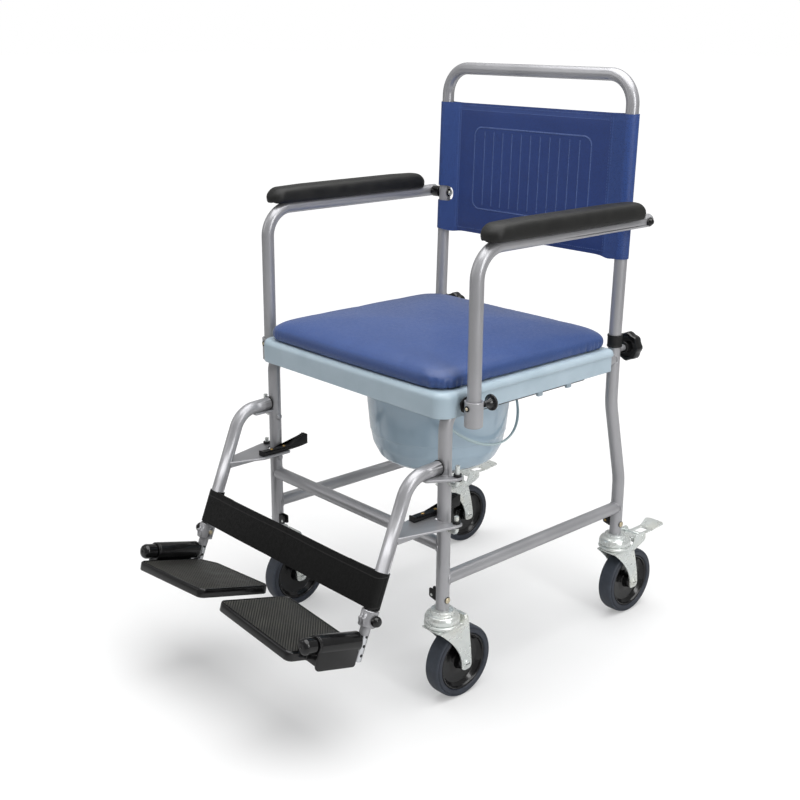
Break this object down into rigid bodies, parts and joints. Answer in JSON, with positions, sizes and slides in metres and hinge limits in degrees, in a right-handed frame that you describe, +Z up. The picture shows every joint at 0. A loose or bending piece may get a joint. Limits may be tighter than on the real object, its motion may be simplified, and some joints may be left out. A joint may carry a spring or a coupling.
{
  "type": "wheeled commode chair",
  "caption": "Tube-framed commode chair on swivel castors, with a lift-off seat over a pan, a sling back, swing-up arms and swing-away footrests.",
  "frame": {"origin": "on the floor under the middle of the chair's outline", "axes": "+Z up, the sitter faces -Y, +X is the sitter's left"},
  "size_m": [0.576, 0.9, 1.007],
  "materials": {
    "silver_paint": "satin",
    "zinc": "zinc plated",
    "chrome": "polished",
    "black_plastic": "satin",
    "arm_foam": "soft matt",
    "blue_vinyl": "satin vinyl",
    "ring_plastic": "satin",
    "pan_plastic": "gloss",
    "bail_wire": "plastic coated",
    "tyre": "matt",
    "hub_plastic": "gloss",
    "webbing": "woven"
  },
  "bodies": {
    "frame": {"left_side_frame": "silver_paint", "right_side_frame": "silver_paint", "left_rear_leg": "silver_paint", "right_rear_leg": "silver_paint", "left_lower_rail": "silver_paint", "right_lower_rail": "silver_paint", "front_cross_rail": "silver_paint", "rear_cross_tube": "silver_paint", "front_left_castor_head": "zinc", "front_right_castor_head": "zinc", "rear_left_castor_head": "zinc", "rear_right_castor_head": "zinc", "left_arm_peg": "black_plastic", "right_arm_peg": "black_plastic", "seat_ring": "ring_plastic"},
    "front_left_swivel": {"front_left_fork": "zinc"},
    "front_right_swivel": {"front_right_fork": "zinc"},
    "rear_left_swivel": {"rear_left_fork": "zinc"},
    "rear_right_swivel": {"rear_right_fork": "zinc"},
    "front_left_wheel": {"front_left_hub": "hub_plastic", "front_left_tyre": "tyre"},
    "front_right_wheel": {"front_right_hub": "hub_plastic", "front_right_tyre": "tyre"},
    "rear_left_wheel": {"rear_left_hub": "hub_plastic", "rear_left_tyre": "tyre"},
    "rear_right_wheel": {"rear_right_hub": "hub_plastic", "rear_right_tyre": "tyre"},
    "rear_left_pedal": {"rear_left_brake_pedal": "zinc"},
    "rear_right_pedal": {"rear_right_brake_pedal": "zinc"},
    "back": {"back_frame": "silver_paint", "back_sling": "blue_vinyl", "left_collar": "black_plastic", "right_collar": "black_plastic", "left_arm_pivot_bolt": "black_plastic", "right_arm_pivot_bolt": "black_plastic"},
    "left_handwheel": {"left_handwheel": "black_plastic"},
    "right_handwheel": {"right_handwheel": "black_plastic"},
    "left_arm": {"left_arm_tube": "silver_paint", "left_arm_saddle": "silver_paint", "left_arm_pad": "arm_foam"},
    "right_arm": {"right_arm_tube": "silver_paint", "right_arm_saddle": "silver_paint", "right_arm_pad": "arm_foam"},
    "left_plunger": {"left_arm_plunger": "black_plastic"},
    "right_plunger": {"right_arm_plunger": "black_plastic"},
    "cushion": {"seat_cushion": "blue_vinyl"},
    "pan": {"pan": "pan_plastic"},
    "bail": {"pan_bail": "bail_wire"},
    "left_hanger": {"left_hanger": "silver_paint", "left_calf_strap": "webbing"},
    "right_hanger": {"right_hanger": "silver_paint", "right_calf_strap": "webbing"},
    "left_lever": {"left_latch_lever": "black_plastic"},
    "right_lever": {"right_latch_lever": "black_plastic"},
    "left_clamp_knob": {"left_clamp_knob": "black_plastic"},
    "right_clamp_knob": {"right_clamp_knob": "black_plastic"},
    "left_post": {"left_footrest_post": "chrome"},
    "right_post": {"right_footrest_post": "chrome"},
    "left_footplate": {"left_footplate": "black_plastic"},
    "right_footplate": {"right_footplate": "black_plastic"}
  },
  "joints": [
    {"name": "front_left_castor_swivel", "type": "hinge", "parent": "frame", "child": "front_left_swivel", "pos_m": [0.2217, -0.14445, 0.168], "axis": [0, 0, 1], "continuous": true},
    {"name": "front_right_castor_swivel", "type": "hinge", "parent": "frame", "child": "front_right_swivel", "pos_m": [-0.2217, -0.14445, 0.168], "axis": [0, 0, 1], "continuous": true},
    {"name": "rear_left_castor_swivel", "type": "hinge", "parent": "frame", "child": "rear_left_swivel", "pos_m": [0.2185, 0.30905, 0.168], "axis": [0, 0, 1], "continuous": true},
    {"name": "rear_right_castor_swivel", "type": "hinge", "parent": "frame", "child": "rear_right_swivel", "pos_m": [-0.2185, 0.30905, 0.168], "axis": [0, 0, 1], "continuous": true},
    {"name": "front_left_wheel_spin", "type": "hinge", "parent": "front_left_swivel", "child": "front_left_wheel", "pos_m": [0.2217, -0.10645, 0.0625], "axis": [1, 0, 0], "continuous": true},
    {"name": "front_right_wheel_spin", "type": "hinge", "parent": "front_right_swivel", "child": "front_right_wheel", "pos_m": [-0.2217, -0.10645, 0.0625], "axis": [1, 0, 0], "continuous": true},
    {"name": "rear_left_wheel_spin", "type": "hinge", "parent": "rear_left_swivel", "child": "rear_left_wheel", "pos_m": [0.2185, 0.34705, 0.0625], "axis": [1, 0, 0], "continuous": true},
    {"name": "rear_right_wheel_spin", "type": "hinge", "parent": "rear_right_swivel", "child": "rear_right_wheel", "pos_m": [-0.2185, 0.34705, 0.0625], "axis": [1, 0, 0], "continuous": true},
    {"name": "rear_left_brake_press", "type": "hinge", "parent": "rear_left_swivel", "child": "rear_left_pedal", "pos_m": [0.2185, 0.36705, 0.15], "axis": [-1, 0, 0], "range_deg": [0, 11]},
    {"name": "rear_right_brake_press", "type": "hinge", "parent": "rear_right_swivel", "child": "rear_right_pedal", "pos_m": [-0.2185, 0.36705, 0.15], "axis": [-1, 0, 0], "range_deg": [0, 11]},
    {"name": "back_lift_out", "type": "slide", "parent": "frame", "child": "back", "axis": [0, 0, 1], "range_m": [0, 0.09]},
    {"name": "left_handwheel_turn", "type": "hinge", "parent": "frame", "child": "left_handwheel", "pos_m": [0.2185, 0.31905, 0.5275], "axis": [0, 1, 0], "continuous": true},
    {"name": "right_handwheel_turn", "type": "hinge", "parent": "frame", "child": "right_handwheel", "pos_m": [-0.2185, 0.31905, 0.5275], "axis": [0, 1, 0], "continuous": true},
    {"name": "left_arm_swing_up", "type": "hinge", "parent": "back", "child": "left_arm", "pos_m": [0.2603, 0.27879, 0.7595], "axis": [-1, 0, 0], "range_deg": [0, 90]},
    {"name": "right_arm_swing_up", "type": "hinge", "parent": "back", "child": "right_arm", "pos_m": [-0.2603, 0.27879, 0.7595], "axis": [-1, 0, 0], "range_deg": [0, 90]},
    {"name": "left_arm_plunger_pull", "type": "slide", "parent": "left_arm", "child": "left_plunger", "axis": [0, 1, 0], "range_m": [0, 0.006], "stiffness_N_per_m": 400, "springref_m": -0.004},
    {"name": "right_arm_plunger_pull", "type": "slide", "parent": "right_arm", "child": "right_plunger", "axis": [0, 1, 0], "range_m": [0, 0.006], "stiffness_N_per_m": 400, "springref_m": -0.004},
    {"name": "cushion_lift_off", "type": "slide", "parent": "frame", "child": "cushion", "axis": [0, 0, 1], "range_m": [0, 0.1]},
    {"name": "pan_slide_out", "type": "slide", "parent": "frame", "child": "pan", "axis": [0, 1, 0], "range_m": [0, 0.35]},
    {"name": "bail_swing", "type": "hinge", "parent": "pan", "child": "bail", "pos_m": [0.05184, 0.06656, 0.4775], "axis": [0.2079, -0.9781, 0], "range_deg": [0, 28]},
    {"name": "left_hanger_swing", "type": "hinge", "parent": "frame", "child": "left_hanger", "pos_m": [0.25, -0.14445, 0.4003], "axis": [0, 0, 1], "range_deg": [0, 90]},
    {"name": "right_hanger_swing", "type": "hinge", "parent": "frame", "child": "right_hanger", "pos_m": [-0.25, -0.14445, 0.4003], "axis": [0, 0, -1], "range_deg": [0, 90]},
    {"name": "left_latch_press", "type": "hinge", "parent": "left_hanger", "child": "left_lever", "pos_m": [0.2, -0.17045, 0.326], "axis": [0, 0, 1], "range_deg": [0, 12], "stiffness_Nm_per_rad": 0.4, "springref_deg": -5.73},
    {"name": "right_latch_press", "type": "hinge", "parent": "right_hanger", "child": "right_lever", "pos_m": [-0.2, -0.17045, 0.326], "axis": [0, 0, -1], "range_deg": [0, 12], "stiffness_Nm_per_rad": 0.4, "springref_deg": -5.73},
    {"name": "left_clamp_knob_turn", "type": "hinge", "parent": "left_hanger", "child": "left_clamp_knob", "pos_m": [0.2217, -0.30305, 0.206], "axis": [1, 0, 0], "continuous": true},
    {"name": "right_clamp_knob_turn", "type": "hinge", "parent": "right_hanger", "child": "right_clamp_knob", "pos_m": [-0.2217, -0.30305, 0.206], "axis": [1, 0, 0], "continuous": true},
    {"name": "left_footrest_height", "type": "slide", "parent": "left_hanger", "child": "left_post", "axis": [0, -0.3714, -0.9285], "range_m": [0, 0.09]},
    {"name": "right_footrest_height", "type": "slide", "parent": "right_hanger", "child": "right_post", "axis": [0, -0.3714, -0.9285], "range_m": [0, 0.09]},
    {"name": "left_footplate_fold", "type": "hinge", "parent": "left_post", "child": "left_footplate", "pos_m": [0.2217, -0.31645, 0.1725], "axis": [0, 0.9659, -0.2588], "range_deg": [0, 78], "deforming": ["left_calf_strap"]},
    {"name": "right_footplate_fold", "type": "hinge", "parent": "right_post", "child": "right_footplate", "pos_m": [-0.2217, -0.31645, 0.1725], "axis": [0, -0.9659, 0.2588], "range_deg": [0, 78], "deforming": ["right_calf_strap"]}
  ]
}
